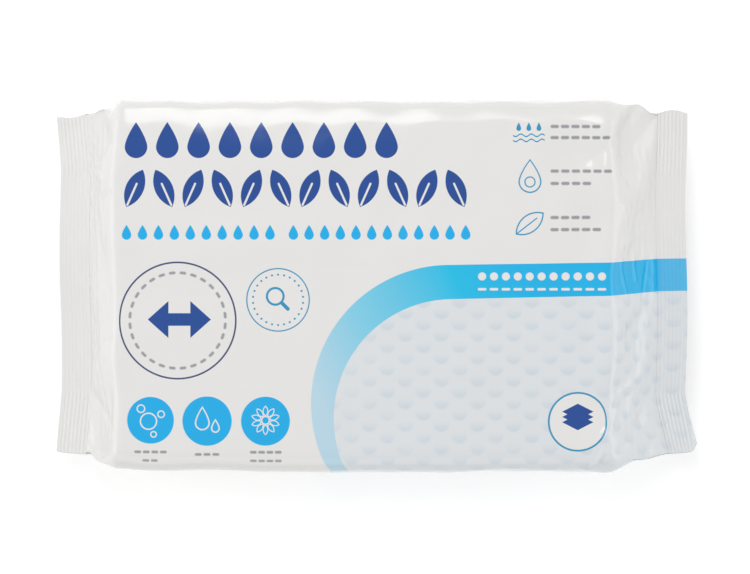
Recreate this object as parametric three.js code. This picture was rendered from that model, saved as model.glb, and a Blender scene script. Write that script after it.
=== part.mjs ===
// Wet wipes pack: a folded stack sealed in a flow wrap of film with tucked ends, lying on its back.
// Millimetres. +X runs along the pack, +Y across it and +Z up; the origin is the middle of its base.
import * as THREE from 'three';

// The filled body
const bodyLength = 196;
const bodyWidth = 148;
const bodyHeight = 46;
const edgeRadius = 12; // of the four long edges

// The panels that fall from the body to the end seals: the stack lies at the left, so the right is slack
const leftSlope = 10;
const rightSlope = 21;
const tuckSpare = 1; // the sides are folded in at each seal by half the height and this
const panelCurve = 0.7; // under 1 keeps the panels wide until close to the seals
const shoulderCurve = 1.4; // over 1 rounds the panels off where they leave the body
const foldCurve = 1.6; // how quickly the long edges sharpen into folds towards the seals

// The crimped end seals
const sealInset = 5.5; // how far each seal stays inside the body's width, on either side
const sealDepth = 12; // along the pack
const sealDrop = 2; // how far the seals hang below the middle of the height
const sealThickness = 0.8; // four layers of film, where the sides are tucked in
const sealMiddle = 0.4; // two layers, between the tucks
const sealMargin = 1.2; // plain film outside the ribs
const ribCount = 7;
const ribHeight = 0.5;

// How far each corner of the seals stands out along the pack
const cornerFlare = { left: { back: 1.6, front: 2 }, right: { back: 0.4, front: 4.4 } };
const flareReach = 30; // how far along the seal a corner bends

// What follows from those sizes
const tuckDepth = bodyHeight / 2 + tuckSpare;
const sealWidth = bodyWidth - 2 * sealInset;
const sealLevel = bodyHeight / 2 - sealDrop;

// Steps that round shapes are drawn with
const cornerSteps = 5;
const panelSteps = 9;
const bodySteps = 4;
const middleSteps = 2;
const sideSteps = 3;
const pocketStart = 0.06; // share of a panel where its tuck closes on the seal

// One quarter of a section, from the middle of its upper face round the long edge to the side's fold.
function quarter({ halfWidth, halfHeight, middleHeight, radius, tuck }) {
  const tuckLine = halfWidth - tuckDepth;
  const points = [];
  for (let i = 0; i <= middleSteps; i++) {
    points.push([((tuckLine - 1) * i) / middleSteps, middleHeight]);
  }
  points.push([tuckLine, halfHeight]);
  for (let i = 0; i <= cornerSteps; i++) {
    const turn = (Math.PI / 2) * (i / cornerSteps);
    points.push([
      halfWidth - radius + radius * Math.sin(turn),
      halfHeight - radius + radius * Math.cos(turn),
    ]);
  }
  for (let i = 1; i <= sideSteps; i++) {
    const share = i / sideSteps;
    points.push([halfWidth - tuck * share, (halfHeight - radius) * (1 - share)]);
  }
  return points;
}

// A whole section is its quarter, mirrored in the height and then across the pack.
function ring(section) {
  const points = quarter(section);
  const fold = points.length - 1;
  const right = points.concat(points.slice(0, fold).reverse().map(([y, z]) => [y, -z]));
  const left = right.slice(1, -1).reverse().map(([y, z]) => [-y, z]);
  return right.concat(left).map(([y, z]) => place(section, y, z));
}

// The corners of the seals bend outwards along the pack, and their panels follow them.
function place(section, y, z) {
  const { x, level, side, pull } = section;
  const corner = cornerFlare[side]?.[y > 0 ? 'back' : 'front'] ?? 0;
  const reach = Math.max(0, Math.abs(y) - (section.halfWidth - flareReach)) / flareReach;
  const outwards = side === 'left' ? -1 : 1;
  return new THREE.Vector3(x + outwards * corner * pull * reach ** 2, y, level + z);
}

// Sections of an end, from the outer edge of its seal to the body, measured from that edge.
function endSections(side, slope) {
  const sections = [];
  const ribPitch = (sealDepth - sealMargin) / ribCount;
  const flat = {
    side,
    pull: 1,
    halfWidth: sealWidth / 2,
    halfHeight: sealThickness / 2,
    middleHeight: sealMiddle / 2,
    radius: sealThickness / 4,
    tuck: 0,
  };
  sections.push({ ...flat, along: 0, level: sealLevel });
  for (let i = 0; i <= 2 * ribCount; i++) {
    const crest = i % 2 === 0 ? -1 : 1;
    sections.push({
      ...flat,
      along: sealMargin + (ribPitch * i) / 2,
      level: sealLevel + (crest * ribHeight) / 2,
    });
  }
  for (let i = 0; i < panelSteps; i++) {
    const share = pocketStart + ((1 - pocketStart) * i) / panelSteps;
    const rise = 1 - (1 - share) ** shoulderCurve;
    const halfHeight = sealThickness / 2 + (bodyHeight / 2 - sealThickness / 2) * rise;
    sections.push({
      side,
      pull: 1 - share,
      along: sealDepth + slope * share,
      level: sealLevel + (bodyHeight / 2 - sealLevel) * rise,
      halfWidth: sealWidth / 2 + ((bodyWidth - sealWidth) / 2) * rise ** panelCurve,
      halfHeight,
      middleHeight: halfHeight,
      radius: Math.max(sealThickness / 4, edgeRadius * rise ** foldCurve),
      tuck: tuckDepth * (1 - share),
    });
  }
  return sections;
}

// All sections, from the left end of the pack to the right.
function packSections() {
  const length = sealDepth + leftSlope + bodyLength + rightSlope + sealDepth;
  const left = endSections('left', leftSlope).map((s) => ({ ...s, x: s.along }));
  const right = endSections('right', rightSlope).map((s) => ({ ...s, x: length - s.along }));
  const body = [];
  for (let i = 0; i <= bodySteps; i++) {
    body.push({
      x: sealDepth + leftSlope + (bodyLength * i) / bodySteps,
      pull: 0,
      level: bodyHeight / 2,
      halfWidth: bodyWidth / 2,
      halfHeight: bodyHeight / 2,
      middleHeight: bodyHeight / 2,
      radius: edgeRadius,
      tuck: 0,
    });
  }
  return [...left, ...body, ...right.reverse()];
}

// The skin between the sections, closed at both ends by strips from the upper face to the lower.
// Each four-cornered face is split along its shorter diagonal, which keeps the tucks smooth.
function loft(rings) {
  const points = rings.flat();
  const around = rings[0].length;
  const half = around / 2;
  const index = [];
  const quad = (a, b, c, d) => {
    if (points[a].distanceTo(points[c]) <= points[b].distanceTo(points[d])) {
      index.push(a, b, c, a, c, d);
    } else {
      index.push(a, b, d, b, c, d);
    }
  };
  for (let i = 0; i + 1 < rings.length; i++) {
    for (let j = 0; j < around; j++) {
      const next = (j + 1) % around;
      const here = i * around;
      const there = here + around;
      quad(here + j, there + j, there + next, here + next);
    }
  }
  const last = (rings.length - 1) * around;
  const strips = (first, flip) => {
    for (const way of [1, -1]) {
      for (let k = 0; k < half / 2; k++) {
        const top = (k * way + around) % around;
        const topNext = ((k + 1) * way + around) % around;
        const low = half - k * way;
        const lowNext = half - (k + 1) * way;
        const corners = [top, low, lowNext, topNext].map((c) => first + c);
        if ((way === 1) === flip) {
          corners.reverse();
        }
        quad(...corners);
      }
    }
  };
  strips(0, true);
  strips(last, false);
  return { points, index };
}

// A face that ends in a single point leaves a triangle with no area, which is dropped.
// The part is then set with the middle of its base at the origin.
function solidGeometry({ points, index }) {
  const faces = [];
  for (let i = 0; i < index.length; i += 3) {
    const [a, b, c] = index.slice(i, i + 3);
    if (a !== b && b !== c && c !== a) {
      faces.push(a, b, c);
    }
  }
  const geometry = new THREE.BufferGeometry().setFromPoints(points);
  geometry.setIndex(faces);
  geometry.computeBoundingBox();
  const box = geometry.boundingBox;
  const middle = box.getCenter(new THREE.Vector3());
  geometry.translate(-middle.x, -middle.y, -box.min.z);
  geometry.computeVertexNormals();
  return geometry;
}

const film = new THREE.MeshStandardMaterial({ color: 0xe6e6e3, roughness: 0.28, metalness: 0 });
const sealedPack = new THREE.Mesh(solidGeometry(loft(packSections().map(ring))), film);
sealedPack.name = 'sealed_pack';

const pack = new THREE.Group();
pack.add(sealedPack);

export default pack;
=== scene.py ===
import math
import time

import bmesh
import bpy
import numpy as np
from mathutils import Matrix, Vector


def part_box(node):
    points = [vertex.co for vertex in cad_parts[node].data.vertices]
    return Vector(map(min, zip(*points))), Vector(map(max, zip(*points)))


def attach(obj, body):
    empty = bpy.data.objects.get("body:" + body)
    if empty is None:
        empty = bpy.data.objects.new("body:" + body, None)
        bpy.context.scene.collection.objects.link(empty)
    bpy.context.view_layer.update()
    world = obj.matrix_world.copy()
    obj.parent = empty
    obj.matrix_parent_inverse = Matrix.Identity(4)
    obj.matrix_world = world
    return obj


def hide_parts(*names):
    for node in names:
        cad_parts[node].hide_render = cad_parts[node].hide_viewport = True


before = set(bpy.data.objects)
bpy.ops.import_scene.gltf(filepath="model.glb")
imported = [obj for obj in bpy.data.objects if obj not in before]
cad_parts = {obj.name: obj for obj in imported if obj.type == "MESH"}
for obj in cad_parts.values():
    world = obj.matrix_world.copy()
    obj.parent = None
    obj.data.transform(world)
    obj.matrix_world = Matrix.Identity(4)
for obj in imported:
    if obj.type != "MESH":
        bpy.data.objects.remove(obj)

# Wet wipes pack: a printed film flow wrap round a folded stack, lying on its back.
# Metres. +X runs along the pack, +Y across it, +Z out of the printed face. Print is laid out in millimetres.

startedAt = time.time()
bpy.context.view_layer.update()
packLow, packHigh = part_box("sealed_pack")
bpy.context.scene.view_settings.view_transform = "Standard"


def report(stage):
    print(f"{stage}: {time.time() - startedAt:.1f} s")


# What every piece of the pack is placed by, beside what the frame gives
pack = {
    "sealDepth": 0.012,  # the crimped strip at each end, along the pack
    "sealInset": 0.0055,  # how far the seals stay inside the body's width
    "sealLevel": 0.021,
    "tuckDepth": 0.0245,  # how far the sides are folded in at the seals
    "flare": {"left": (0.0016, 0.0020), "right": (0.0004, 0.0056)},  # corners standing out, far and near
    "droop": {"left": (0, 0), "right": (0, 0.004)},  # and hanging
    "flareCurve": 1.2,
    "cornerOut": {"left": 0.0020, "right": 0.0044},  # how far the solid's corners stand out
    "wave": (0.0004, 75),  # how much the seals waver along the pack, and in how many radians a metre
    "ripple": (0.0014, 46),  # and up and down
    "phase": {"left": 0.6, "right": 2.4},
}
halfWidth = packHigh.y
height = packHigh.z
sealHalf = halfWidth - pack["sealInset"]
ends = {
    "left": {"side": -1, "edge": packLow.x + pack["cornerOut"]["left"] + pack["sealDepth"]},
    "right": {"side": 1, "edge": packHigh.x - pack["cornerOut"]["right"] - pack["sealDepth"]},
}


def sealEdge(end, y):
    # the place of a seal's inner edge: straight in the middle, wavering, and bent outwards past the tucks
    corner = 0 if y > 0 else 1
    reach = max(0, abs(y) - (sealHalf - pack["tuckDepth"])) / pack["tuckDepth"]
    wave, waveTurn = pack["wave"]
    ripple, rippleTurn = pack["ripple"]
    phase = pack["phase"][end]
    flare = pack["flare"][end][corner] * reach ** pack["flareCurve"]
    out = flare + wave * (1 - reach) * math.sin(y * waveTurn + phase)
    lift = ripple * math.sin(y * rippleTurn + phase) - pack["droop"][end][corner] * reach**2
    return Vector((ends[end]["edge"] + ends[end]["side"] * out, y, pack["sealLevel"] + lift))


def meshObject(name, points, faces):
    mesh = bpy.data.meshes.new(name)
    mesh.from_pydata([tuple(p) for p in points], [], faces)
    mesh.update()
    made = bpy.data.objects.new(name, mesh)
    bpy.context.collection.objects.link(made)
    return made


def flatSquare(name, reach, level):
    corners = [(x * reach, y * reach, level) for x, y in ((-1, -1), (1, -1), (1, 1), (-1, 1))]
    return meshObject(name, corners, [(0, 1, 2, 3)])


def smoothStep(value):
    value = np.clip(value, 0, 1)
    return value * value * (3 - 2 * value)


# The film, from one end seal to the other, as a grid over its own length and girth
film = {
    "edgeRadius": 0.010,
    "step": 0.0022,  # of the grid that settles
    "endStep": 0.00055,  # of the finished grid, at the ends
    "middleStep": 0.0016,  # and over the stack
    "fineReach": {"left": 0.006, "right": 0.012},  # how far the finer steps run on over the stack
    "layerGap": 0.0003,  # between the layers of the tucks
    "lowest": 0.0001,  # over the floor
    "resting": 0.002,  # film below this lies on the table, and stays smooth
    "restingFade": 0.010,
    "stackLeft": -0.1045,  # where the stack of wipes lies
    "stackRight": 0.0930,
    "stackRounding": 0.006,
    "endRounding": {-1: 0.009, 1: 0.017},  # where the wipes fold over, at the left and the right
    "stackInset": 0.0012,
    "spareLeft": 0.0015,  # film past the straight way from the stack to each seal
    "spareRight": 0.004,
    "smoothing": 3,  # rounds of smoothing over the stack
    "smoothingShare": 0.7,
    "folded": {"left": 0.7, "right": 0.8},  # share of each end that isn't smoothed
}
settling = {
    "scale": 10,  # cloth behaves better at a larger size
    "frames": 24,
    "gravity": 0.3,
    "tableReach": 0.3,
}
# How the film behaves while it settles, and what it settles on, in Blender's own words
filmCloth = {
    "quality": 6,
    "mass": 0.15,
    "air_damping": 2,
    "tension_stiffness": 60,
    "compression_stiffness": 60,
    "shear_stiffness": 30,
    "bending_stiffness": 15,
    "tension_damping": 15,
    "compression_damping": 15,
    "shear_damping": 15,
    "bending_damping": 2,
    "vertex_group_mass": "welded",
    "pin_stiffness": 1,
    "use_pressure": True,
    "uniform_pressure_force": 0.6,
}
filmContact = {
    "collision_quality": 3,
    "distance_min": 0.003,
    "use_self_collision": True,
    "self_distance_min": 0.002,
}
solidContact = {
    "thickness_outer": 0.002,
    "cloth_friction": 2,
}
quarterGirth = halfWidth + height / 2 - 2 * film["edgeRadius"] + film["edgeRadius"] * math.pi / 2
girth = 4 * quarterGirth
stackLength = film["stackRight"] - film["stackLeft"]
runs = {
    "left": math.hypot(film["stackLeft"] - ends["left"]["edge"], height / 2) + film["spareLeft"],
    "right": math.hypot(ends["right"]["edge"] - film["stackRight"], height / 2) + film["spareRight"],
}
filmLength = runs["left"] + stackLength + runs["right"]


def bodySection(t):
    # one quarter of the filled section, from the middle of the face to the middle of the side
    radius = film["edgeRadius"]
    flatHalf = halfWidth - radius
    sideHalf = height / 2 - radius
    arc = radius * math.pi / 2
    if t <= flatHalf:
        return t, height / 2
    if t <= flatHalf + arc:
        turn = (t - flatHalf) / radius
        return flatHalf + radius * math.sin(turn), sideHalf + radius * math.cos(turn)
    return halfWidth, sideHalf - (t - flatHalf - arc)


def sealSection(t):
    # the same quarter where it is pressed flat, with the side folded in
    if t <= sealHalf:
        return t, 1.5 * film["layerGap"]
    inwards = (quarterGirth - t) / (quarterGirth - sealHalf)
    return 2 * sealHalf - t, 0.5 * film["layerGap"] * inwards


def wholeSection(quarter, t):
    t = t % girth
    side, up = 1, 1
    if t > girth / 2:
        t, side = girth - t, -1
    if t > quarterGirth:
        t, up = girth / 2 - t, -1
    y, z = quarter(t)
    return side * y, up * z


def filmGrid():
    around = 4 * round(girth / film["step"] / 4)
    along = round(filmLength / film["step"])
    sections = []
    for j in range(around):
        t = girth * j / around
        sections.append((wholeSection(bodySection, t), wholeSection(sealSection, t)))
    start = np.empty((along + 1, around, 3))
    rest = np.empty((along + 1, around, 3))
    for i in range(along + 1):
        s = filmLength * i / along
        end = "left" if s < filmLength / 2 else "right"
        fromSeal = min(s, filmLength - s)
        share = min(1, fromSeal / runs[end])
        stackX = min(max(film["stackLeft"] + s - runs["left"], film["stackLeft"]), film["stackRight"])
        for j, ((bodyY, bodyZ), (sealY, sealZ)) in enumerate(sections):
            edge = sealEdge(end, sealY)
            start[i, j] = (
                edge.x + (stackX - edge.x) * share,
                sealY + (bodyY - sealY) * share,
                edge.z + sealZ + (height / 2 + bodyZ - edge.z - sealZ) * share,
            )
            rest[i, j] = (s, bodyY, bodyZ)
    return start, rest


def gridFaces(rows, columns):
    faces = []
    for i in range(rows - 1):
        for j in range(columns):
            k = (j + 1) % columns
            faces.append((i * columns + j, (i + 1) * columns + j, (i + 1) * columns + k, i * columns + k))
    return faces


def stackOfWipes(scale):
    # only there while the film settles on it
    inset = film["stackInset"]
    low = Vector((film["stackLeft"], inset - halfWidth, inset)) * scale
    high = Vector((film["stackRight"], halfWidth - inset, height - inset)) * scale
    corners = [(x, y, z) for x in (low.x, high.x) for y in (low.y, high.y) for z in (low.z, high.z)]
    faces = [(0, 1, 3, 2), (4, 6, 7, 5), (0, 4, 5, 1), (2, 3, 7, 6), (0, 2, 6, 4), (1, 5, 7, 3)]
    box = meshObject("stack_of_wipes", corners, faces)
    work = bmesh.new()
    work.from_mesh(box.data)
    for side, rounding in film["endRounding"].items():
        atEnd = [e for e in work.edges if all(v.co.x * side > 0 for v in e.verts)]
        folded = [e for e in atEnd if e.verts[0].co.z == e.verts[1].co.z]
        bmesh.ops.bevel(work, geom=folded, offset=rounding * scale, segments=6, profile=0.5, affect="EDGES")
    work.to_mesh(box.data)
    work.free()
    bevel = box.modifiers.new("soft edges", "BEVEL")
    bevel.width = film["stackRounding"] * scale
    bevel.segments = 3
    rounded = bpy.data.meshes.new_from_object(box.evaluated_get(bpy.context.evaluated_depsgraph_get()))
    box.modifiers.remove(bevel)
    box.data = rounded
    return box


def giveAll(home, values):
    for name, value in values.items():
        setattr(home, name, value)


def settleFilm(start, rest):
    scale = settling["scale"]
    rows, columns = start.shape[:2]
    loose = meshObject("loose_film", start.reshape(-1, 3) * scale, gridFaces(rows, columns))
    loose.shape_key_add(name="Basis")
    uncut = loose.shape_key_add(name="film as it was rolled")
    uncut.data.foreach_set("co", (rest * scale).ravel())
    pins = loose.vertex_groups.new(name="welded")
    pins.add(list(range(columns)) + list(range((rows - 1) * columns, rows * columns)), 1.0, "REPLACE")

    stack = stackOfWipes(scale)
    table = flatSquare("table", settling["tableReach"] * scale, 0)
    for solid in (stack, table):
        solid.modifiers.new("solid", "COLLISION")
        giveAll(solid.collision, solidContact)

    cloth = loose.modifiers.new("film", "CLOTH")
    giveAll(cloth.settings, filmCloth)
    giveAll(cloth.collision_settings, filmContact)
    cloth.settings.rest_shape_key = uncut
    cloth.settings.effector_weights.gravity = settling["gravity"]
    cloth.point_cache.frame_start = 1
    cloth.point_cache.frame_end = settling["frames"]
    for number in range(1, settling["frames"] + 1):
        bpy.context.scene.frame_set(number)
    settled = loose.evaluated_get(bpy.context.evaluated_depsgraph_get())
    points = np.empty(rows * columns * 3)
    settled.data.vertices.foreach_get("co", points)
    for temporary in (loose, stack, table):
        bpy.data.objects.remove(temporary)
    return points.reshape(rows, columns, 3) / scale


def between(values, places, loop):
    # a smooth curve through the rows of a grid, read at any places along it
    count = len(values)
    first = np.floor(places).astype(int)
    share = (places - first)[:, None, None]
    rows = [first + k for k in (-1, 0, 1, 2)]
    rows = [r % count if loop else np.clip(r, 0, count - 1) for r in rows]
    a, b, c, d = (values[r] for r in rows)
    bend = 2 * a - 5 * b + 4 * c - d + (3 * b - a - 3 * c + d) * share
    return b + 0.5 * share * (c - a + bend * share)


# Over what length, at the left and the right, the reworking of the film fades in
fades = {
    "folds": (0.006, 0.010),  # smoothing, past the folds of each end
    "welds": (0.012, 0.014),  # the rest, from the seals
    "stack": (0.020, 0.030),  # the lower waves, over the stack
}


def fadeIn(s, fade, left=0, right=0):
    # 0 as far as given from the ends of the film, and 1 in the middle
    leftFade, rightFade = fades[fade]
    return smoothStep((s - left) / leftFade) * smoothStep((filmLength - right - s) / rightFade)


def smoothed(points):
    # takes out ripples as small as the grid, but leaves the folds at the ends
    s = np.linspace(0, filmLength, len(points))
    left, right = (film["folded"][end] * runs[end] for end in ends)
    share = fadeIn(s, "folds", left, right)[1:-1, None, None]
    for _ in range(film["smoothing"]):
        along = (points[:-2] + points[2:]) / 2
        around = (np.roll(points, 1, axis=1) + np.roll(points, -1, axis=1))[1:-1] / 2
        points[1:-1] += share * ((along + around) / 2 - points[1:-1]) * film["smoothingShare"]
    return points


def finerGrid(points):
    rows, columns = points.shape[:2]
    middleStart = runs["left"] + film["fineReach"]["left"]
    middleEnd = filmLength - runs["right"] - film["fineReach"]["right"]
    zones = (
        (0, middleStart, film["endStep"]),
        (middleStart, middleEnd, film["middleStep"]),
        (middleEnd, filmLength, film["endStep"]),
    )
    alongPlaces = [0.0]
    for low, high, step in zones:
        count = round((high - low) / step)
        alongPlaces.extend(low + (high - low) * (k + 1) / count for k in range(count))
    s = np.array(alongPlaces)
    finer = between(points, s / filmLength * (rows - 1), loop=False)
    t = girth * np.arange(2 * columns) / (2 * columns)
    finer = between(finer.transpose(1, 0, 2), t / girth * columns, loop=True).transpose(1, 0, 2)
    return finer, s, t


def printPlaces(s, t):
    # where the print lies on the film, in millimetres from the middle of the face
    along = (s - runs["left"] + film["stackLeft"]) * 1000
    across = np.where(t > girth / 2, t - girth, t) * 1000
    return along, across


# Slack that stands proud of the settled film: a middle, how far it reaches each way, and how far it is pushed
bulges = (
    ((0.1045, 0.0700, 0.034), (0.0075, 0.010, 0.016), (0, 0.0042, 0)),
    ((-0.1085, 0.0690, 0.028), (0.0032, 0.009, 0.014), (0, 0.0032, 0)),
    ((-0.1056, 0.0710, 0.036), (0.0026, 0.010, 0.014), (0, -0.0034, -0.0006)),
    ((-0.1110, -0.0680, 0.026), (0.0036, 0.009, 0.014), (0, -0.0026, 0)),
    ((-0.1025, -0.0730, 0.026), (0.0045, 0.008, 0.016), (0, 0.0012, 0)),
    ((0.1000, -0.0660, 0.034), (0.0080, 0.008, 0.014), (0.001, -0.0010, 0.0016)),
    ((0.0950, 0.0100, 0.046), (0.0160, 0.045, 0.012), (0.0006, 0, 0.0007)),
    ((-0.0500, 0.0540, 0.046), (0.0450, 0.012, 0.012), (0, 0, 0.0012)),
    ((0.1060, -0.0690, 0.026), (0.0080, 0.006, 0.012), (0, -0.0014, 0)),
    ((0.0000, -0.0740, 0.024), (0.0700, 0.010, 0.020), (0, -0.0014, 0)),
)

# Creases on the flat film, in millimetres: both ends, how wide each side of it slopes, and how deep it is
creases = (
    # the faint folds across the face
    ((-24, 8.2), (22, 7.9), 1.6, -0.10),
    ((-31, -14.6), (15, -14.9), 1.6, -0.10),
    ((-52, -37.6), (54, -37.9), 1.8, -0.10),
    # the slack right end
    ((84, 50), (96, 58), 6.5, -0.75),
    ((94, 57), (112, 66), 6.0, -0.8),
    ((92, 36), (99, 33), 1.8, 0.35),
    ((99, 33), (103, 25), 1.8, 0.35),
    ((101, 44), (122, 30), 3.5, -0.45),
    ((97, 14), (118, 22), 4.0, 0.40),
    ((100, 12), (105, -4), 1.7, 0.5),
    ((110, 13), (112, 2), 1.6, 0.5),
    ((121, 12), (116, -6), 2.2, -0.5),
    ((96, -22), (120, -10), 4.5, -0.45),
    ((92, -48), (116, -34), 4.0, 0.45),
    ((88, -63), (100, -47), 3.0, 0.7),
    ((84, -76), (91, -64), 1.7, 1.0),
    ((96, -66), (118, -50), 3.0, -0.6),
    # the tight left end
    ((-112, 42), (-122, 45), 2.4, 0.5),
    ((-106, 38), (-114, 34), 3.0, -0.5),
    ((-121, 28), (-112, -56), 3.0, 0.45),
    ((-108, 60), (-126, 46), 3.5, -0.4),
    ((-107, -58), (-126, -44), 3.5, -0.45),
    ((-106, -20), (-124, -26), 3.5, -0.3),
)
waviness = {
    "seed": 11,
    "waves": 26,
    "lengths": (0.022, 0.060),  # from crest to crest
    "face": 0.00022,  # how high they are over the stack
    "ends": 0.00045,  # and at the ends, where nothing holds the film
}
creaseFade = 0.15  # share of a crease's length, either way, over which it fades at its ends
creaseCurve = 1.5  # over 1 sharpens the ridge


def normals(points):
    along = np.gradient(points, axis=0)
    around = np.roll(points, -1, axis=1) - np.roll(points, 1, axis=1)
    square = np.cross(around, along)
    square /= np.linalg.norm(square, axis=2, keepdims=True)
    outwards = points - points.mean(axis=1, keepdims=True)
    return square * np.sign((square * outwards).sum())


def waves(u, v):
    # the same smooth waviness each time, the same at both sides of the seam
    chance = np.random.default_rng(waviness["seed"])
    total = np.zeros(u.shape)
    low, high = waviness["lengths"]
    for _ in range(waviness["waves"]):
        length = chance.uniform(low, high)
        heading = chance.uniform(0, math.pi)
        rounds = round(math.sin(heading) * girth / length)
        phase = chance.uniform(0, 2 * math.pi)
        total += np.sin(2 * math.pi * (math.cos(heading) * u / length + rounds * v / girth) + phase)
    return total / math.sqrt(waviness["waves"] / 2)


def creaseDepth(u, v):
    total = np.zeros(u.shape)
    for (startU, startV), (endU, endV), width, depth in creases:
        alongU, alongV = endU - startU, endV - startV
        length = math.hypot(alongU, alongV)
        share = ((u - startU) * alongU + (v - startV) * alongV) / length**2
        off = np.abs((u - startU) * alongV - (v - startV) * alongU) / length
        started = smoothStep((share + creaseFade) / (2 * creaseFade))
        running = smoothStep((1 + creaseFade - share) / (2 * creaseFade))
        total += depth * started * running * np.clip(1 - off / width, 0, 1) ** creaseCurve
    return total / 1000


def worked(points, s, t):
    # the settled film with its slack, creases and waviness, which all fade out where it is welded
    u, v = np.meshgrid(*printPlaces(s, t), indexing="ij")
    outwards = normals(points)
    free = fadeIn(s, "welds")
    overStack = fadeIn(s, "stack", runs["left"], runs["right"])
    offTable = smoothStep((points[:, :, 2:] - film["resting"]) / film["restingFade"])
    high = waviness["ends"] + (waviness["face"] - waviness["ends"]) * overStack
    lift = waves(u / 1000, v / 1000) * high[:, None] + creaseDepth(u, v)
    made = points + outwards * (lift * free[:, None])[:, :, None] * offTable
    for middle, reach, push in bulges:
        near = np.exp(-(((points - np.array(middle)) / np.array(reach)) ** 2).sum(axis=2))
        made += near[:, :, None] * np.array(push) * free[:, None, None]
    made[:, :, 2] = np.maximum(made[:, :, 2], film["lowest"])
    return made


def filmWrap():
    start, rest = filmGrid()
    report("film cut")
    points = settleFilm(start, rest)
    report("film settled")
    points, s, t = finerGrid(smoothed(points))
    points = worked(points, s, t)
    rows, columns = points.shape[:2]
    faces = gridFaces(rows, columns) + mouthFaces(0, columns) + mouthFaces((rows - 1) * columns, columns, -1)
    wrap = meshObject("film_wrap", points.reshape(-1, 3), faces)
    mesh = wrap.data
    layOut(mesh, "filmLayout", columns, *printPlaces(s, t), girth * 1000)
    layOut(mesh, "OFBake", columns, s / filmLength, (t + girth / 2) % girth / girth, 1)
    mesh.polygons.foreach_set("use_smooth", [True] * len(mesh.polygons))
    mesh.update()
    return wrap, points[:, columns // 2]


def mouthFaces(first, columns, way=1):
    # closes an end between its upper and lower halves, inside the seal
    faces = []
    half = columns // 2
    for side in (1, -1):
        for k in range(half // 2):
            places = [k * side, (k + 1) * side, half - (k + 1) * side, half - k * side]
            corners = list(dict.fromkeys(first + place % columns for place in places))
            faces.append(corners[:: way * side])
    return faces


def layOut(mesh, name, columns, along, across, wholeTurn):
    # one map of the film, cut where it comes round to itself
    layer = mesh.uv_layers.new(name=name)
    for polygon in mesh.polygons:
        corners = [divmod(mesh.loops[k].vertex_index, columns) for k in polygon.loop_indices]
        places = [across[column] for _, column in corners]
        if max(places) - min(places) > wholeTurn / 2 and len({row for row, _ in corners}) > 1:
            places = [place if place > 0.01 * wholeTurn else place + wholeTurn for place in places]
        for k, (row, _), place in zip(polygon.loop_indices, corners, places):
            layer.data[k].uv = (along[row], place)


# The crimped seals: a strip laid along each inner edge, with ribs pressed into it
crimp = {
    "ribs": 7,
    "ribHeight": {"left": 0.00019, "right": 0.00024},
    "margin": 0.0012,  # plain film outside the ribs
    "thickness": 0.00028,
    "tuckStep": 0.00022,  # how much the four layers stand above the two
    "layersFade": 0.0004,  # over which the four layers become two, either way
    "ribShift": 0.22,  # how far the ribs in the four layers are out of step, in turns
    "ribFade": 0.0005,  # over which the ribs end
    "relief": (0.2, 0.27),  # how much of the height shows in two layers, and how much more in four
    "twist": 0.16,  # how much the strip tips up and down along its length
    "twistGrain": (28.0, 20.0),  # how often it does, along the seal and across it
    "farRim": {"left": -0.0012, "right": 0.0014},  # how far the far rim bends out in its middle
    "nearRim": {"left": 0.0004, "right": 0.0038},  # how far the near one is rounded off at its corner
    "nearDip": {"left": 0.0, "right": 0.0023},  # and how much lower it runs before that
    "nearCurve": 12,  # how sharply it is rounded off
    "farBend": (0.050, 0.069),  # where the rims start to bend, and where they do it fully
    "nearBend": (-0.055, -0.069),
    "seed": {"left": 3.0, "right": 7.0},
    "edgePoints": 60,  # that a seal is laid along
    "alongSteps": 96,
    "acrossSteps": 220,
}
crimpSockets = {
    "Edge": "Geometry",
    "Outwards": "Float",
    "Depth": "Float",
    "Ribs": "Float",
    "Rib Height": "Float",
    "Margin": "Float",
    "Thickness": "Float",
    "Tuck Line": "Float",
    "Tuck Step": "Float",
    "Twist": "Float",
    "Far Rim": "Float",
    "Near Rim": "Float",
    "Near Dip": "Float",
    "Seed": "Float",
    "Along Steps": "Int",
    "Across Steps": "Int",
    "Film": "Material",
}


class Number:
    # a value in a node tree; plain sums on it add Math nodes
    def __init__(self, home, socket):
        self.home = home
        self.socket = socket

    def __add__(self, other):
        return self.home.math("ADD", self, other)

    def __radd__(self, other):
        return self.home.math("ADD", other, self)

    def __sub__(self, other):
        return self.home.math("SUBTRACT", self, other)

    def __rsub__(self, other):
        return self.home.math("SUBTRACT", other, self)

    def __mul__(self, other):
        return self.home.math("MULTIPLY", self, other)

    def __truediv__(self, other):
        return self.home.math("DIVIDE", self, other)

    def __pow__(self, other):
        return self.home.math("POWER", self, other)

    def __abs__(self):
        return self.home.math("ABSOLUTE", self)


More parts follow.
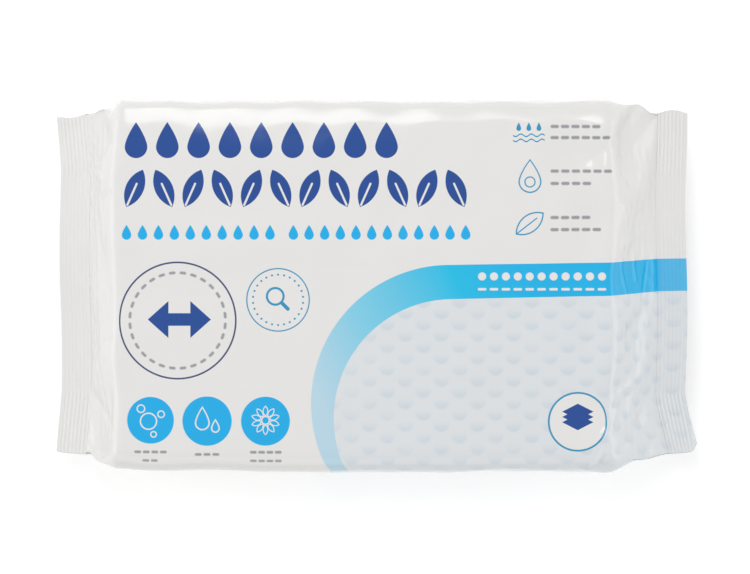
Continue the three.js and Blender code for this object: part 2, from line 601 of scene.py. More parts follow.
class NodeTree:
    # a node tree with named inputs and outputs, and short ways to fill it
    def __init__(self, name, kind, inputs, outputs):
        self.tree = bpy.data.node_groups.new(name, kind)
        self.keys = {}
        for label, socket in inputs.items():
            made = self.tree.interface.new_socket(label, in_out="INPUT", socket_type="NodeSocket" + socket)
            self.keys[label] = made.identifier
        for label, socket in outputs.items():
            self.tree.interface.new_socket(label, in_out="OUTPUT", socket_type="NodeSocket" + socket)
        self.start = self.tree.nodes.new("NodeGroupInput")
        self.finish = self.tree.nodes.new("NodeGroupOutput")

    def given(self, label):
        return Number(self, self.start.outputs[label])

    def give(self, label, value):
        self.put(self.finish.inputs[label], value)

    def put(self, socket, value):
        if isinstance(value, Number):
            self.tree.links.new(value.socket, socket)
        else:
            socket.default_value = value

    def node(self, kind, inputs, result=0, **settings):
        made = self.tree.nodes.new(kind)
        for name, value in settings.items():
            setattr(made, name, value)
        for label, value in inputs.items():
            self.put(made.inputs[label], value)
        return Number(self, made.outputs[result])

    def math(self, operation, *values):
        return self.node("ShaderNodeMath", dict(enumerate(values)), operation=operation)

    def least(self, first, *others):
        for other in others:
            first = self.math("MINIMUM", first, other)
        return first

    def most(self, first, other):
        return self.math("MAXIMUM", first, other)

    def length(self, x, y):
        return (x * x + y * y) ** 0.5

    def ramp(self, value, low, high, kind="LINEAR"):
        # from 0 where the value is low to 1 where it is high
        ends = {"Value": value, "From Min": low, "From Max": high}
        return self.node("ShaderNodeMapRange", ends, interpolation_type=kind)

    def vector(self, x, y, z=0.0):
        return self.node("ShaderNodeCombineXYZ", {0: x, 1: y, 2: z})

    def apart(self, vector):
        made = self.tree.nodes.new("ShaderNodeSeparateXYZ")
        self.put(made.inputs[0], vector)
        return [Number(self, output) for output in made.outputs]


def ribRelief(g, distance, layers):
    # the ribs run across the pack; those in the four layers are a little out of step and deeper
    ribbed = g.given("Depth") - g.given("Margin")
    turns = distance * g.given("Ribs") / ribbed + layers * crimp["ribShift"]
    wave = g.math("SINE", turns * (2 * math.pi))
    ending = g.ramp(distance, ribbed, ribbed - crimp["ribFade"])
    inTwo, more = crimp["relief"]
    return wave * g.given("Rib Height") * ending * (layers * more + inTwo)


def stripTip(g, distance, edgeY):
    # how the strip tips up and down, more towards its rim
    alongGrain, acrossGrain = crimp["twistGrain"]
    noise = g.node("ShaderNodeTexNoise", {
        "Vector": g.vector(edgeY * alongGrain, distance * acrossGrain, g.given("Seed")),
        "Scale": 1.0,
        "Detail": 1.0,
    })
    return (noise - 0.5) * g.given("Twist") * distance


def rimBend(g, share, edgeY, layers):
    # the rims aren't quite straight: the far one bends in its middle, and the near one at its outer corner
    farRim = g.given("Far Rim") * g.math("SINE", share * math.pi) * g.ramp(edgeY, *crimp["farBend"])
    corner = g.given("Near Rim") * share ** crimp["nearCurve"] - g.given("Near Dip") * share
    nearRim = corner * g.ramp(edgeY, *crimp["nearBend"])
    return (farRim + nearRim) * layers


def thickened(g, sheet, thickness):
    # a closed strip below the sheet
    below = g.node("GeometryNodeExtrudeMesh", {
        "Mesh": sheet,
        "Offset": (0, 0, -1),
        "Offset Scale": thickness,
        "Individual": False,
    })
    turned = g.node("GeometryNodeFlipFaces", {"Mesh": sheet})
    both = g.tree.nodes.new("GeometryNodeJoinGeometry")
    g.put(both.inputs[0], below)
    g.put(both.inputs[0], turned)
    closed = g.node("GeometryNodeMergeByDistance", {"Geometry": Number(g, both.outputs[0]), "Distance": 1e-6})
    return g.node("GeometryNodeRealizeInstances", {"Geometry": closed})


def crimpTree():
    # a flat grid, laid out from the edge: a share of the depth one way, and of the edge's length the other
    g = NodeTree("crimped seal", "GeometryNodeTree", crimpSockets, {"Seal": "Geometry"})
    edge = g.node("GeometryNodeMeshToCurve", {"Mesh": g.given("Edge")})
    strip = g.node("GeometryNodeMeshGrid", {
        "Size X": 1.0,
        "Size Y": 1.0,
        "Vertices X": g.given("Along Steps"),
        "Vertices Y": g.given("Across Steps"),
    })
    placeX, placeY, _ = g.apart(g.node("GeometryNodeInputPosition", {}))
    share = placeX + 0.5
    sample = g.tree.nodes.new("GeometryNodeSampleCurve")
    sample.mode = "FACTOR"
    g.put(sample.inputs["Curves"], edge)
    g.put(sample.inputs["Factor"], placeY + 0.5)
    edgeX, edgeY, edgeZ = g.apart(Number(g, sample.outputs["Position"]))
    headX, headY, _ = g.apart(Number(g, sample.outputs["Tangent"]))
    distance = share * g.given("Depth")

    # four layers of film past the tuck line, two between
    layers = g.ramp(abs(edgeY) - g.given("Tuck Line"), -crimp["layersFade"], crimp["layersFade"])
    step = layers * g.given("Tuck Step")
    relief = ribRelief(g, distance, layers)
    tip = stripTip(g, distance, edgeY)
    rim = rimBend(g, share, edgeY, layers)

    # outwards is square to the edge, so the ribs bend with the corners
    away = distance * g.given("Outwards")
    place = g.vector(edgeX + away * headY, edgeY - away * headX + rim, edgeZ + relief + tip + step / 2)
    shaped = g.node("GeometryNodeSetPosition", {"Geometry": strip, "Position": place})
    closed = thickened(g, shaped, g.given("Thickness") + step)
    g.give("Seal", g.node("GeometryNodeSetMaterial", {"Geometry": closed, "Material": g.given("Film")}))
    return g


def outwardNormals(mesh):
    # faces point out of a closed shell
    work = bmesh.new()
    work.from_mesh(mesh)
    bmesh.ops.recalc_face_normals(work, faces=work.faces)
    work.to_mesh(mesh)
    work.free()


def crimpedStrip(name, g, points, values):
    # lays a crimped strip along a line of points
    count = len(points)
    mesh = bpy.data.meshes.new(name)
    mesh.from_pydata([tuple(p) for p in points], [(k, k + 1) for k in range(count - 1)], [])
    guide = bpy.data.objects.new(name, mesh)
    bpy.context.collection.objects.link(guide)
    modifier = guide.modifiers.new("crimp", "NODES")
    modifier.node_group = g.tree
    for label, value in values.items():
        modifier[g.keys[label]] = value
    made = bpy.data.meshes.new_from_object(guide.evaluated_get(bpy.context.evaluated_depsgraph_get()))
    bpy.data.objects.remove(guide)
    outwardNormals(made)
    made.polygons.foreach_set("use_smooth", [True] * len(made.polygons))
    strip = bpy.data.objects.new(name, made)
    bpy.context.collection.objects.link(strip)
    return strip


def endSeal(end, g, material):
    side = ends[end]["side"]
    count = crimp["edgePoints"]
    edge = [sealEdge(end, sealHalf * (2 * k / count - 1)) for k in range(count + 1)]
    seal = crimpedStrip(f"end_seal_{end}", g, edge, {
        "Outwards": float(side),
        "Depth": pack["sealDepth"],
        "Ribs": float(crimp["ribs"]),
        "Rib Height": crimp["ribHeight"][end],
        "Margin": crimp["margin"],
        "Thickness": crimp["thickness"],
        "Tuck Line": sealHalf - pack["tuckDepth"],
        "Tuck Step": crimp["tuckStep"],
        "Twist": crimp["twist"],
        "Far Rim": crimp["farRim"][end],
        "Near Rim": crimp["nearRim"][end],
        "Near Dip": crimp["nearDip"][end],
        "Seed": crimp["seed"][end],
        "Along Steps": crimp["alongSteps"],
        "Across Steps": crimp["acrossSteps"],
        "Film": material,
    })

    # the print runs on over the seal
    edgeAlong = printPlaces(np.array([0 if side < 0 else filmLength]), np.zeros(1))[0][0]
    layout = seal.data.uv_layers.new(name="filmLayout")
    for loop in seal.data.loops:
        point = seal.data.vertices[loop.vertex_index].co
        out = point.x - sealEdge(end, point.y).x
        layout.data[loop.index].uv = (edgeAlong + out * 1000, point.y * 1000)
    return seal


# The seam along the back, where the edges of the film are welded together and folded flat
fin = {
    "depth": 0.011,
    "ribs": 6,
    "ribHeight": 0.00010,
    "margin": 0.0022,
    "thickness": 0.00020,
    "gap": 0.00022,  # under the film
    "tuckLine": 1.0,  # far off: the seam has no tucks
    "printedAt": 400,  # in millimetres, outside everything that is printed
    "alongSteps": 45,
    "acrossSteps": 560,
}


def backSeam(backLine, g, material):
    # follows the middle of the back from one seal to the other
    points = [Vector((x, 0, z - fin["gap"])) for x, _, z in backLine]
    seam = crimpedStrip("back_seam", g, points, {
        "Outwards": 1.0,
        "Depth": fin["depth"],
        "Ribs": float(fin["ribs"]),
        "Rib Height": fin["ribHeight"],
        "Margin": fin["margin"],
        "Thickness": fin["thickness"],
        "Tuck Line": fin["tuckLine"],
        "Along Steps": fin["alongSteps"],
        "Across Steps": fin["acrossSteps"],
        "Film": material,
    })
    layout = seam.data.uv_layers.new(name="filmLayout")
    for loop in seam.data.loops:
        point = seam.data.vertices[loop.vertex_index].co
        layout.data[loop.index].uv = (point.x * 1000, fin["printedAt"] + point.y * 1000)
    return seam


# The print: groups that give the distance to the edge of one shape, in millimetres, negative inside it
inks = {
    "film": (229, 228, 226),
    "navy": (10, 68, 146),
    "slate": (62, 68, 114),
    "cyan": (0, 171, 230),
    "teal": (40, 144, 188),
    "grey": (152, 152, 158),
    "field": (220, 224, 227),
    "dimple": (206, 215, 222),
    # pale tone for the seals: partly the crimped film's whiter look, partly painted light from the floor
    # through the thin film
    "crimped": (255, 255, 255),
    "bandPale": (184, 214, 229),
    "bandLight": (128, 204, 229),
    "bandMiddle": (8, 187, 228),
    "bandFull": (0, 177, 230),
}
printing = {
    "softness": 0.16,  # of the edges of the print, in millimetres
    "dashSoftness": 0.5,  # and of the grey dashes
    "outline": 0.28,  # half the width of the line round the icons
    "fineOutline": 0.2,  # and round the petals
    "dimpleEdge": 0.62,  # share of a dimple's radius inside which its shade is full
    "dimpleShade": (0.45, -0.8),  # how high in it the shade starts, and where it is full, in radii
    "dimpleGrain": 0.05,  # how often the dimples get fainter
    "dimpleFade": (0.1, 0.5),
    "sealPaleAndLitThrough": 0.08,  # of the seals: partly the crimped film's whiter look, partly painted light that the floor would give through the thin film
    "whiteFrom": (126.5, 128.5),  # how far from the middle of the pack
}


def colour(name):
    # from the values of a screen to those that light is worked out with
    shares = [value / 255 for value in inks[name]]
    return [((s + 0.055) / 1.055) ** 2.4 if s > 0.04 else s / 12.92 for s in shares] + [1]


def shapeTree(name, sizes):
    inputs = {"Place": "Vector"}
    inputs.update({label: "Float" for label in sizes})
    t = NodeTree(name, "ShaderNodeTree", inputs, {"Distance": "Float"})
    x, y, _ = t.apart(t.given("Place"))
    return [t, x, y] + [t.given(label) for label in sizes]


def discShape():
    t, x, y, radius = shapeTree("printed disc", ["Radius"])
    t.give("Distance", t.length(x, y) - radius)
    return t


def ringShape():
    t, x, y, radius, line = shapeTree("printed ring", ["Radius", "Line"])
    t.give("Distance", abs(t.length(x, y) - radius) - line / 2)
    return t


def barShape():
    t, x, y, length, line = shapeTree("printed bar", ["Length", "Line"])
    past = t.most(abs(x) - (length - line) / 2, 0)
    t.give("Distance", t.length(past, y) - line / 2)
    return t


def dropShape():
    # round below its middle, and drawn out to a tip above it
    t, x, y, radius, height = shapeTree("printed drop", ["Radius", "Height"])
    taper = 1 - (t.most(y, 0) / height) ** 1.5
    t.give("Distance", t.length(x, t.least(y, 0)) - radius * taper)
    return t


def leafShape():
    # what two circles have in common
    t, x, y, length, width = shapeTree("printed leaf", ["Length", "Width"])
    radius = (length * length + width * width) / (width * 4)
    t.give("Distance", t.length(abs(x) + radius - width / 2, y) - radius)
    return t


def waveShape():
    t, x, y, length, line, swing, period = shapeTree("printed wave", ["Length", "Line", "Swing", "Period"])
    off = abs(y - swing * t.math("SINE", x / period * (2 * math.pi))) - line / 2
    t.give("Distance", t.most(off, abs(x) - length / 2))
    return t


def arrowShape():
    # a bar with a head at both ends
    t, x, y, length, height, line, head = shapeTree("printed arrow", ["Length", "Height", "Line", "Head"])
    fromTip = length / 2 - abs(x)
    heads = t.most(abs(y) - fromTip * height / head / 2, fromTip - head)
    shaft = t.most(abs(y) - line / 2, head * 0.9 - fromTip)
    t.give("Distance", t.least(heads, shaft))
    return t


def sheetShape():
    # a square lying flat, seen from a corner
    t, x, y, width, height = shapeTree("printed sheet", ["Width", "Height"])
    t.give("Distance", (abs(x) / width + abs(y) / height - 0.5) * height)
    return t


def rowTree():
    # turns one row into places about the middle of each of its cells, every second one mirrored
    sizes = {"Place": "Vector", "Pitch": "Float", "Count": "Float"}
    t = NodeTree("printed row", "ShaderNodeTree", sizes, {"Place": "Vector"})
    x, y, _ = t.apart(t.given("Place"))
    pitch = t.given("Pitch")
    number = t.least(t.most(t.math("FLOOR", x / pitch), 0), t.given("Count") - 1)
    side = 1 - t.math("MODULO", number, 2) * 2
    t.give("Place", t.vector((x - (number + 0.5) * pitch) * side, y))
    return t


def circleTree():
    # the same round a circle: how far along it, and how far outside it
    sizes = {"Place": "Vector", "Radius": "Float", "Count": "Float"}
    t = NodeTree("printed circle", "ShaderNodeTree", sizes, {"Place": "Vector"})
    x, y, _ = t.apart(t.given("Place"))
    out = t.length(x, y)
    count = t.given("Count")
    turns = t.math("ARCTAN2", y, x) / (2 * math.pi) * count
    along = (t.math("FRACT", turns) - 0.5) * out * (2 * math.pi) / count
    t.give("Place", t.vector(along, out - t.given("Radius")))
    return t


def dimpleTree():
    # staggered hollows, each shaded towards its lower rim
    sizes = {"Place": "Vector", "Column": "Float", "Row": "Float", "Radius": "Float"}
    t = NodeTree("printed dimples", "ShaderNodeTree", sizes, {"Shade": "Float"})
    x, y, _ = t.apart(t.given("Place"))
    column, row, radius = (t.given(label) for label in ("Column", "Row", "Radius"))
    high, low = printing["dimpleShade"]
    shade = 0
    for shift in (0, 0.5):
        cellX = (t.math("FRACT", x / column + shift) - 0.5) * column
        cellY = (t.math("FRACT", y / row + shift) - 0.5) * row
        inside = t.ramp(t.length(cellX, cellY), radius, radius * printing["dimpleEdge"], "SMOOTHSTEP")
        shade = shade + inside * t.ramp(cellY, radius * high, radius * low, "SMOOTHSTEP")
    t.give("Shade", shade)
    return t


def printShapes():
    return {
        "disc": discShape(),
        "ring": ringShape(),
        "bar": barShape(),
        "drop": dropShape(),
        "leaf": leafShape(),
        "wave": waveShape(),
        "arrow": arrowShape(),
        "sheet": sheetShape(),
        "row": rowTree(),
        "circle": circleTree(),
        "dimples": dimpleTree(),
    }


class FilmLayer(NodeTree):
    # a group that works from places on the film, with the shapes at hand
    def __init__(self, name, outputs, shapes):
        super().__init__(name, "ShaderNodeTree", {"Place": "Vector"}, outputs)
        self.place = self.given("Place")
        self.shapes = shapes

    def use(self, kind, place, **sizes):
        made = self.tree.nodes.new("ShaderNodeGroup")
        made.node_tree = self.shapes[kind].tree
        self.put(made.inputs["Place"], place)
        for label, value in sizes.items():
            self.put(made.inputs[label.title()], value)
        return Number(self, made.outputs[0])

    def about(self, x, y, turn=0, place=None):
        # places measured from a middle, along axes turned by so many degrees
        return self.node("ShaderNodeMapping", {
            "Vector": place or self.place,
            "Location": (x, y, 0),
            "Rotation": (0, 0, math.radians(turn)),
        }, vector_type="TEXTURE")

    def row(self, x, y, pitch, count):
        return self.use("row", self.about(x, y), pitch=pitch, count=count)

    def cover(self, under, distance, ink, softness=None):
        half = (softness or printing["softness"]) / 2
        return self.mix(under, ink, self.ramp(distance, half, -half))

    def mix(self, first, second, share):
        return self.node("ShaderNodeMix", {0: share, 6: first, 7: second}, result=2, data_type="RGBA")


# Where the middles of the printed shapes lie, in millimetres from the middle of the face
spots = {
    "big roundel": (-79, -13.3),
    "arrow": (-78.3, -12.9),
    "small roundel": (-39.1, -5.1),
    "magnifier": (-40.2, -3.7),
    "handle": (-36.3, -7.6),
    "bubbles": (-89.8, -53.0),
    "drops": (-67.3, -53.3),
    "daisy": (-44.1, -53.3),
    "large drop": (-69.2, -54.0),
    "small drop": (-64.0, -56.2),
    "petals": (-44.1, -53.0),
    "waves": (60.4, 60.2),
    "drop": (60.9, 41.9),
    "drop's ring": (60.9, 41.7),
    "leaf": (60.8, 25.2),
    "leaf's vein": (59.6, 24.2),
    "sheet roundel": (80, -53.6),
    "top sheet": (80, -49.6),
    "dimples": (4.3, 3.9),
}
# Rows of shapes: where each starts, its pitch and its count
shapeRows = {
    "large drops": (-101.6, 58.3, 12.42, 9),
    "leaves": (-101.8, 39.2, 11.6, 12),
    "left small drops": (-102.4, 21.6, 6.33, 10),
    "right small drops": (-36.1, 21.6, 6.22, 12),
    "drops over the waves": (54.4, 63.6, 4, 3),
}
# The rings that make the bubbles: the middle of each, its radius and its line
bubbleRings = (
    (-90.6, -53.4, 3.2, 0.55),
    (-85.6, -50.6, 1.3, 0.5),
    (-93.6, -48.4, 1.5, 0.5),
    (-88.6, -58.6, 1.1, 0.5),
)


def bigRows(p):
    # a row of drops over a row of leaves
    drops = p.use("drop", p.about(0, -2.6, place=p.row(*shapeRows["large drops"])), radius=4.5, height=9.8)
    leafCell = p.about(0, 0, -24, place=p.row(*shapeRows["leaves"]))
    leaves = p.use("leaf", leafCell, length=16.2, width=7.2)
    vein = p.use("bar", p.about(0, -2.6, 90, place=leafCell), length=10, line=0.8)
    leaves = p.most(leaves, vein * -1)
    return p.least(drops, leaves)


def smallRow(p):
    drops = []
    for name in ("left small drops", "right small drops"):
        cell = p.about(0, -0.9, place=p.row(*shapeRows[name]))
        drops.append(p.use("drop", cell, radius=1.9, height=4))
    return p.least(*drops)


def bigRoundel(p):
    middle = p.about(*spots["big roundel"])
    ring = p.use("ring", middle, radius=23.1, line=0.68)
    dash = p.use("circle", middle, radius=19, count=28)
    return ring, p.use("bar", dash, length=2.6, line=1.1)


def smallRoundel(p):
    # a magnifying glass in a ring of dots
    middle = p.about(*spots["small roundel"])
    ring = p.use("ring", middle, radius=12.4, line=0.5)
    dots = p.use("disc", p.use("circle", middle, radius=10, count=26), radius=0.42)
    glass = p.use("ring", p.about(*spots["magnifier"]), radius=3.3, line=0.9)
    handle = p.use("bar", p.about(*spots["handle"], -45), length=4.6, line=1.5)
    return p.least(ring, dots, glass, handle)


def discs(p):
    radii = {"bubbles": 9.3, "drops": 9.8, "daisy": 9.7}
    return p.least(*[p.use("disc", p.about(*spots[name]), radius=radius) for name, radius in radii.items()])


def discIcons(p):
    rings = [p.use("ring", p.about(x, y), radius=size, line=line) for x, y, size, line in bubbleRings]
    bubbles = p.least(*rings)
    drops = p.least(
        abs(p.use("drop", p.about(*spots["large drop"]), radius=2.7, height=6.2)) - printing["outline"],
        abs(p.use("drop", p.about(*spots["small drop"]), radius=1.5, height=3.4)) - printing["outline"],
    )
    petals = p.about(*spots["petals"])
    petal = p.use("leaf", p.use("circle", petals, radius=3.7, count=10), length=3.8, width=1.9)
    daisy = p.least(abs(petal) - printing["fineOutline"], p.use("ring", petals, radius=1.5, line=0.45))
    return p.least(bubbles, drops, daisy)


# Rows of soft grey dashes under the discs and beside the icons: where each starts, its pitch and its count
smallDashes = (
    (-96.6, -65.6, 3.4, 4),
    (-93.4, -69.2, 3.4, 2),
    (-72.6, -66.6, 3.5, 3),
    (-50.6, -65.6, 3.3, 4),
    (-50.6, -69.2, 3.3, 4),
)
largeDashes = (
    (68.6, 63.7, 4.1, 5),
    (68.6, 59.3, 4.1, 6),
    (68.6, 46.0, 4.2, 6),
    (68.6, 41.1, 4.2, 4),
    (68.6, 27.6, 4.1, 4),
    (68.6, 22.8, 4.1, 5),
)


def greyDashes(p):
    small = [p.use("bar", p.row(*dashes), length=2.7, line=1.1) for dashes in smallDashes]
    large = [p.use("bar", p.row(*dashes), length=3.3, line=1.3) for dashes in largeDashes]
    return p.least(*small, *large)


def sideIcons(p):
    # three small pictures: drops over waves, a drop, and a leaf
    x, y = spots["waves"]
    swell = {"length": 12.6, "line": 0.55, "swing": 0.5, "period": 4.2}
    waves = [p.use("wave", p.about(x, y - lower), **swell) for lower in (0, 2)]
    falling = p.about(0, -0.7, place=p.row(*shapeRows["drops over the waves"]))
    waves = p.least(*waves, p.use("drop", falling, radius=0.95, height=2.4))
    drop = p.least(
        abs(p.use("drop", p.about(*spots["drop"]), radius=4.3, height=8.6)) - printing["outline"],
        p.use("ring", p.about(*spots["drop's ring"]), radius=2.0, line=0.5),
    )
    leaf = p.least(
        abs(p.use("leaf", p.about(*spots["leaf"], -52), length=13.4, width=6.6)) - printing["outline"],
        p.use("bar", p.about(*spots["leaf's vein"], 38), length=10.6, line=0.5),
    )
    return p.least(waves, drop, leaf)


# The roundel at the lower right: a stack of sheets, each but the top one half hidden
sheetStack = {
    "ring": 11.5,
    "drops": (2.1, 4.2),  # how far below the top sheet the others lie
    "cutRise": 2.7,  # how far above each the sheet that cuts it stands
}


def sheetRoundel(p):
    ring = p.use("ring", p.about(*spots["sheet roundel"]), radius=sheetStack["ring"], line=0.75)
    x, top = spots["top sheet"]
    sheets = p.use("sheet", p.about(x, top), width=12.4, height=6.4)
    for drop in sheetStack["drops"]:
        lower = p.use("sheet", p.about(x, top - drop), width=12.4, height=6.4)
        above = p.use("sheet", p.about(x, top - drop + sheetStack["cutRise"]), width=13.4, height=7.2)
        sheets = p.least(sheets, p.most(lower, above * -1))
    return ring, sheets


# The blue band and the pale field in it: the edge of each is an arc that runs out into a straight line
bow = {
    "outer": {"x": 29.2, "y": -46.4, "radius": 55.2, "rise": 0.015},
    "inner": {"x": 30.4, "y": -52.2, "radius": 47.4, "rise": 0.021},
    "straightBelow": -74.4,  # down the near side
    "lowerEnd": -112,  # underneath
    "tilt": 0.5,  # of the way along which the blue gets stronger
    "strengthens": (-45.0, 60.0),
    "stops": ((0.3, "bandLight"), (0.74, "bandMiddle")),
    "beads": (39.6, 4.2, 4.72, 11),
    "dashes": (39.6, -0.9, 4.72, 11),
}


def bowEdge(p, x, y, edge):
    past = x - edge["x"]
    arc = p.length(p.least(past, 0), p.most(y, bow["straightBelow"]) - edge["y"]) - edge["radius"]
    return p.most(arc - p.most(past, 0) * edge["rise"], bow["lowerEnd"] - y)


def band(p):
    x, y, _ = p.apart(p.place)
    outer = bowEdge(p, x, y, bow["outer"])
    inner = bowEdge(p, x, y, bow["inner"])
    beads = p.least(
        p.use("disc", p.row(*bow["beads"]), radius=1.6),
        p.use("bar", p.row(*bow["dashes"]), length=3.4, line=1.0),
    )
    return outer, inner, beads, x + y * bow["tilt"]


def bandColour(p, along):
    ramp = p.tree.nodes.new("ShaderNodeValToRGB")
    p.put(ramp.inputs[0], p.ramp(along, *bow["strengthens"]))
    stops = ramp.color_ramp.elements
    stops[0].color = colour("bandPale")
    stops[1].color = colour("bandFull")
    for share, name in bow["stops"]:
        stops.new(share).color = colour(name)
    return Number(p, ramp.outputs[0])


def filmPrint(shapes):
    # the whole print, in the film's own colours
    p = FilmLayer("film print", {"Color": "Color"}, shapes)
    film = colour("film")
    outer, inner, beads, along = band(p)
    shade = p.use("dimples", p.about(*spots["dimples"]), column=14.35, row=8.97, radius=3.9)
    faint = p.node("ShaderNodeTexNoise", {"Vector": p.place, "Scale": printing["dimpleGrain"], "Detail": 1.0})
    dimpled = p.mix(colour("field"), colour("dimple"), shade * p.ramp(faint, *printing["dimpleFade"]))
    made = p.cover(film, outer, bandColour(p, along))
    made = p.cover(made, inner, dimpled)
    ring, dashes = bigRoundel(p)
    sheetRing, sheets = sheetRoundel(p)
    arrow = p.use("arrow", p.about(*spots["arrow"]), length=25.1, height=14.7, line=5.0, head=8.2)
    made = p.cover(made, p.use("disc", p.about(*spots["sheet roundel"]), radius=sheetStack["ring"]), film)
    made = p.cover(made, p.least(bigRows(p), arrow, sheets), colour("navy"))
    made = p.cover(made, ring, colour("slate"))
    made = p.cover(made, p.least(dashes, greyDashes(p)), colour("grey"), printing["dashSoftness"])
    made = p.cover(made, p.least(smallRoundel(p), sideIcons(p), sheetRing), colour("teal"))
    made = p.cover(made, p.least(discs(p), smallRow(p)), colour("cyan"))
    made = p.cover(made, p.least(discIcons(p), beads), film)
    # the film is painted a little lighter over the seals: partly the crimped film's whiter look, partly
    # painted light from the floor through the thin film
    x, _, _ = p.apart(p.place)
    paleAndLitThrough = p.ramp(abs(x), *printing["whiteFrom"]) * printing["sealPaleAndLitThrough"]
    p.give("Color", p.mix(made, colour("crimped"), paleAndLitThrough))
    return p


# The film's own surface, under and over the print
surface = {
    "roughness": (0.10, 0.20),
    "roughGrain": (0.11, 0.16, 3.0),  # how often it changes along and across the pack, and in what detail
    "roughSpread": (0.3, 0.7),  # the part of the noise that is used
    "pleatHeight": 0.045,  # fine pleats that run in from the seals
    "pleatGrain": (0.07, 0.42, 2.0),
    "pleatReach": (96, 116),  # how far from the middle of the pack they start, and where they are full
    "dentHeight": 0.02,  # soft unevenness everywhere
    "dentGrain": (0.06, 0.10, 1.0),
    "gloss": 1.47,
}


def filmSurface(shapes):
    # how rough the film is, and how high its fine wrinkles stand, in millimetres
    s = FilmLayer("film surface", {"Roughness": "Float", "Height": "Float"}, shapes)
    x, y, _ = s.apart(s.place)

    def noise(stretchX, stretchY, detail):
        place = s.vector(x * stretchX, y * stretchY)
        return s.node("ShaderNodeTexNoise", {"Vector": place, "Scale": 1.0, "Detail": detail})

    low, high = surface["roughness"]
    s.give("Roughness", s.ramp(noise(*surface["roughGrain"]), *surface["roughSpread"]) * (high - low) + low)
    pleats = (noise(*surface["pleatGrain"]) - 0.5) * s.ramp(abs(x), *surface["pleatReach"], "SMOOTHSTEP")
    dents = noise(*surface["dentGrain"]) - 0.5
    s.give("Height", pleats * surface["pleatHeight"] + dents * surface["dentHeight"])
    return s


def filmFinish():
    made = bpy.data.materials.new("printed film")
    made.use_nodes = True
    nodes, links = made.node_tree.nodes, made.node_tree.links
    shader = nodes["Principled BSDF"]
    layout = nodes.new("ShaderNodeUVMap")
    layout.uv_map = "filmLayout"
    shapes = printShapes()
    printed = nodes.new("ShaderNodeGroup")
    printed.node_tree = filmPrint(shapes).tree
    links.new(layout.outputs[0], printed.inputs["Place"])
    links.new(printed.outputs["Color"], shader.inputs["Base Color"])
    fine = nodes.new("ShaderNodeGroup")
    fine.node_tree = filmSurface(shapes).tree
    links.new(layout.outputs[0], fine.inputs["Place"])
    links.new(fine.outputs["Roughness"], shader.inputs["Roughness"])
    bump = nodes.new("ShaderNodeBump")
    bump.inputs["Distance"].default_value = 0.001  # a millimetre
    links.new(fine.outputs["Height"], bump.inputs["Height"])
    links.new(bump.outputs["Normal"], shader.inputs["Normal"])
    shader.inputs["IOR"].default_value = surface["gloss"]
    return made


filmMaterial = filmFinish()
wrap, backLine = filmWrap()
wrap.data.materials.append(filmMaterial)
report("film wrapped")
crimping = crimpTree()
seals = [endSeal(end, crimping, filmMaterial) for end in ends]
seam = backSeam(backLine, crimping, filmMaterial)
report("seals and seam crimped")

for piece in [wrap, seam] + seals:
    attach(piece, "root")
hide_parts("sealed_pack")

# Floor, light and camera
stage = {
    "pixel": 0.000397,  # at the printed face
    "distance": 2.4,
    "tilt": 2.5,
    "aimX": -0.0006,
    "sensor": 36,
    "pictureWidth": 750,
    "farthest": 10,
    "floorReach": 2,
    "floorLevel": -0.0002,
    "floorTone": 0.8,
    "floorLift": 0.38,  # added to what the camera sees of the floor, so that it's white with a faint shadow
    "worldLight": 0.43,
    "lampsFace": (0, 0, 0.02),
}
# each softbox: where it stands, its size, and its power
softboxes = {
    "window": ((-0.11, 0.75, 0.75), (0.24, 1.4), 5.3),
    "left softbox": ((-1.15, -0.1, 0.40), (1.2, 1.1), 6.4),
    "right softbox": ((1.15, -0.1, 0.40), (1.2, 1.1), 5.8),
    "front softbox": ((0, -1.1, 0.7), (1.4, 0.9), 3.5),
}


def seenDirectly(tree):
    # 1 for what the camera sees, straight or mirrored, and 0 for what only lights the pack
    path = tree.nodes.new("ShaderNodeLightPath")
    both = tree.nodes.new("ShaderNodeMath")
    both.operation = "MAXIMUM"
    tree.links.new(path.outputs["Is Camera Ray"], both.inputs[0])
    tree.links.new(path.outputs["Is Glossy Ray"], both.inputs[1])
    return both.outputs[0]


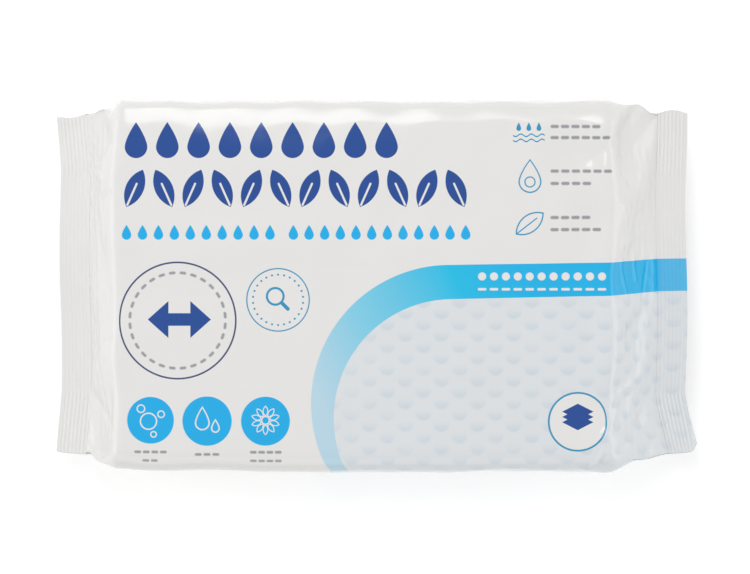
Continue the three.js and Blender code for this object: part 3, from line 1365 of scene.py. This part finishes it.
def floorFinish():
    made = bpy.data.materials.new("pale floor")
    made.use_nodes = True
    nodes, links = made.node_tree.nodes, made.node_tree.links
    shader = nodes["Principled BSDF"]
    shader.inputs["Base Color"].default_value = (*[stage["floorTone"]] * 3, 1)
    shader.inputs["Roughness"].default_value = 1
    shader.inputs["Specular IOR Level"].default_value = 0
    lift = nodes.new("ShaderNodeMath")
    lift.operation = "MULTIPLY"
    lift.inputs[1].default_value = stage["floorLift"]
    links.new(seenDirectly(made.node_tree), lift.inputs[0])
    shader.inputs["Emission Color"].default_value = (1, 1, 1, 1)
    links.new(lift.outputs[0], shader.inputs["Emission Strength"])
    return made


def softbox(name, place, size, power):
    lamp = bpy.data.lights.new(name, "AREA")
    lamp.shape = "RECTANGLE"
    lamp.size, lamp.size_y = size
    lamp.energy = power
    made = bpy.data.objects.new(name, lamp)
    bpy.context.collection.objects.link(made)
    made.location = place
    made.rotation_euler = (Vector(stage["lampsFace"]) - Vector(place)).to_track_quat("-Z", "Y").to_euler()


def studio():
    floor = flatSquare("floor", stage["floorReach"], stage["floorLevel"])
    floor.data.materials.append(floorFinish())
    for name, (place, size, power) in softboxes.items():
        softbox(name, place, size, power)
    world = bpy.data.worlds.new("studio")
    bpy.context.scene.world = world
    world.use_nodes = True
    background = world.node_tree.nodes["Background"]
    background.inputs["Color"].default_value = (1, 1, 1, 1)
    strength = world.node_tree.nodes.new("ShaderNodeMapRange")
    strength.inputs["To Min"].default_value = stage["worldLight"]
    strength.inputs["To Max"].default_value = 1
    world.node_tree.links.new(seenDirectly(world.node_tree), strength.inputs["Value"])
    world.node_tree.links.new(strength.outputs[0], background.inputs["Strength"])


def photoCamera():
    eye = bpy.data.cameras.new("camera")
    camera = bpy.data.objects.new("camera", eye)
    bpy.context.collection.objects.link(camera)
    tilt = math.radians(stage["tilt"])
    aim = Vector((stage["aimX"], 0, height))
    camera.location = aim + Vector((0, math.sin(tilt), math.cos(tilt))) * stage["distance"]
    camera.rotation_euler = (-tilt, 0, 0)
    eye.sensor_width = stage["sensor"]
    eye.lens = stage["sensor"] * stage["distance"] / (stage["pixel"] * stage["pictureWidth"])
    eye.clip_end = stage["farthest"]
    bpy.context.scene.camera = camera


studio()
photoCamera()

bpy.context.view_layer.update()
report("scene built")
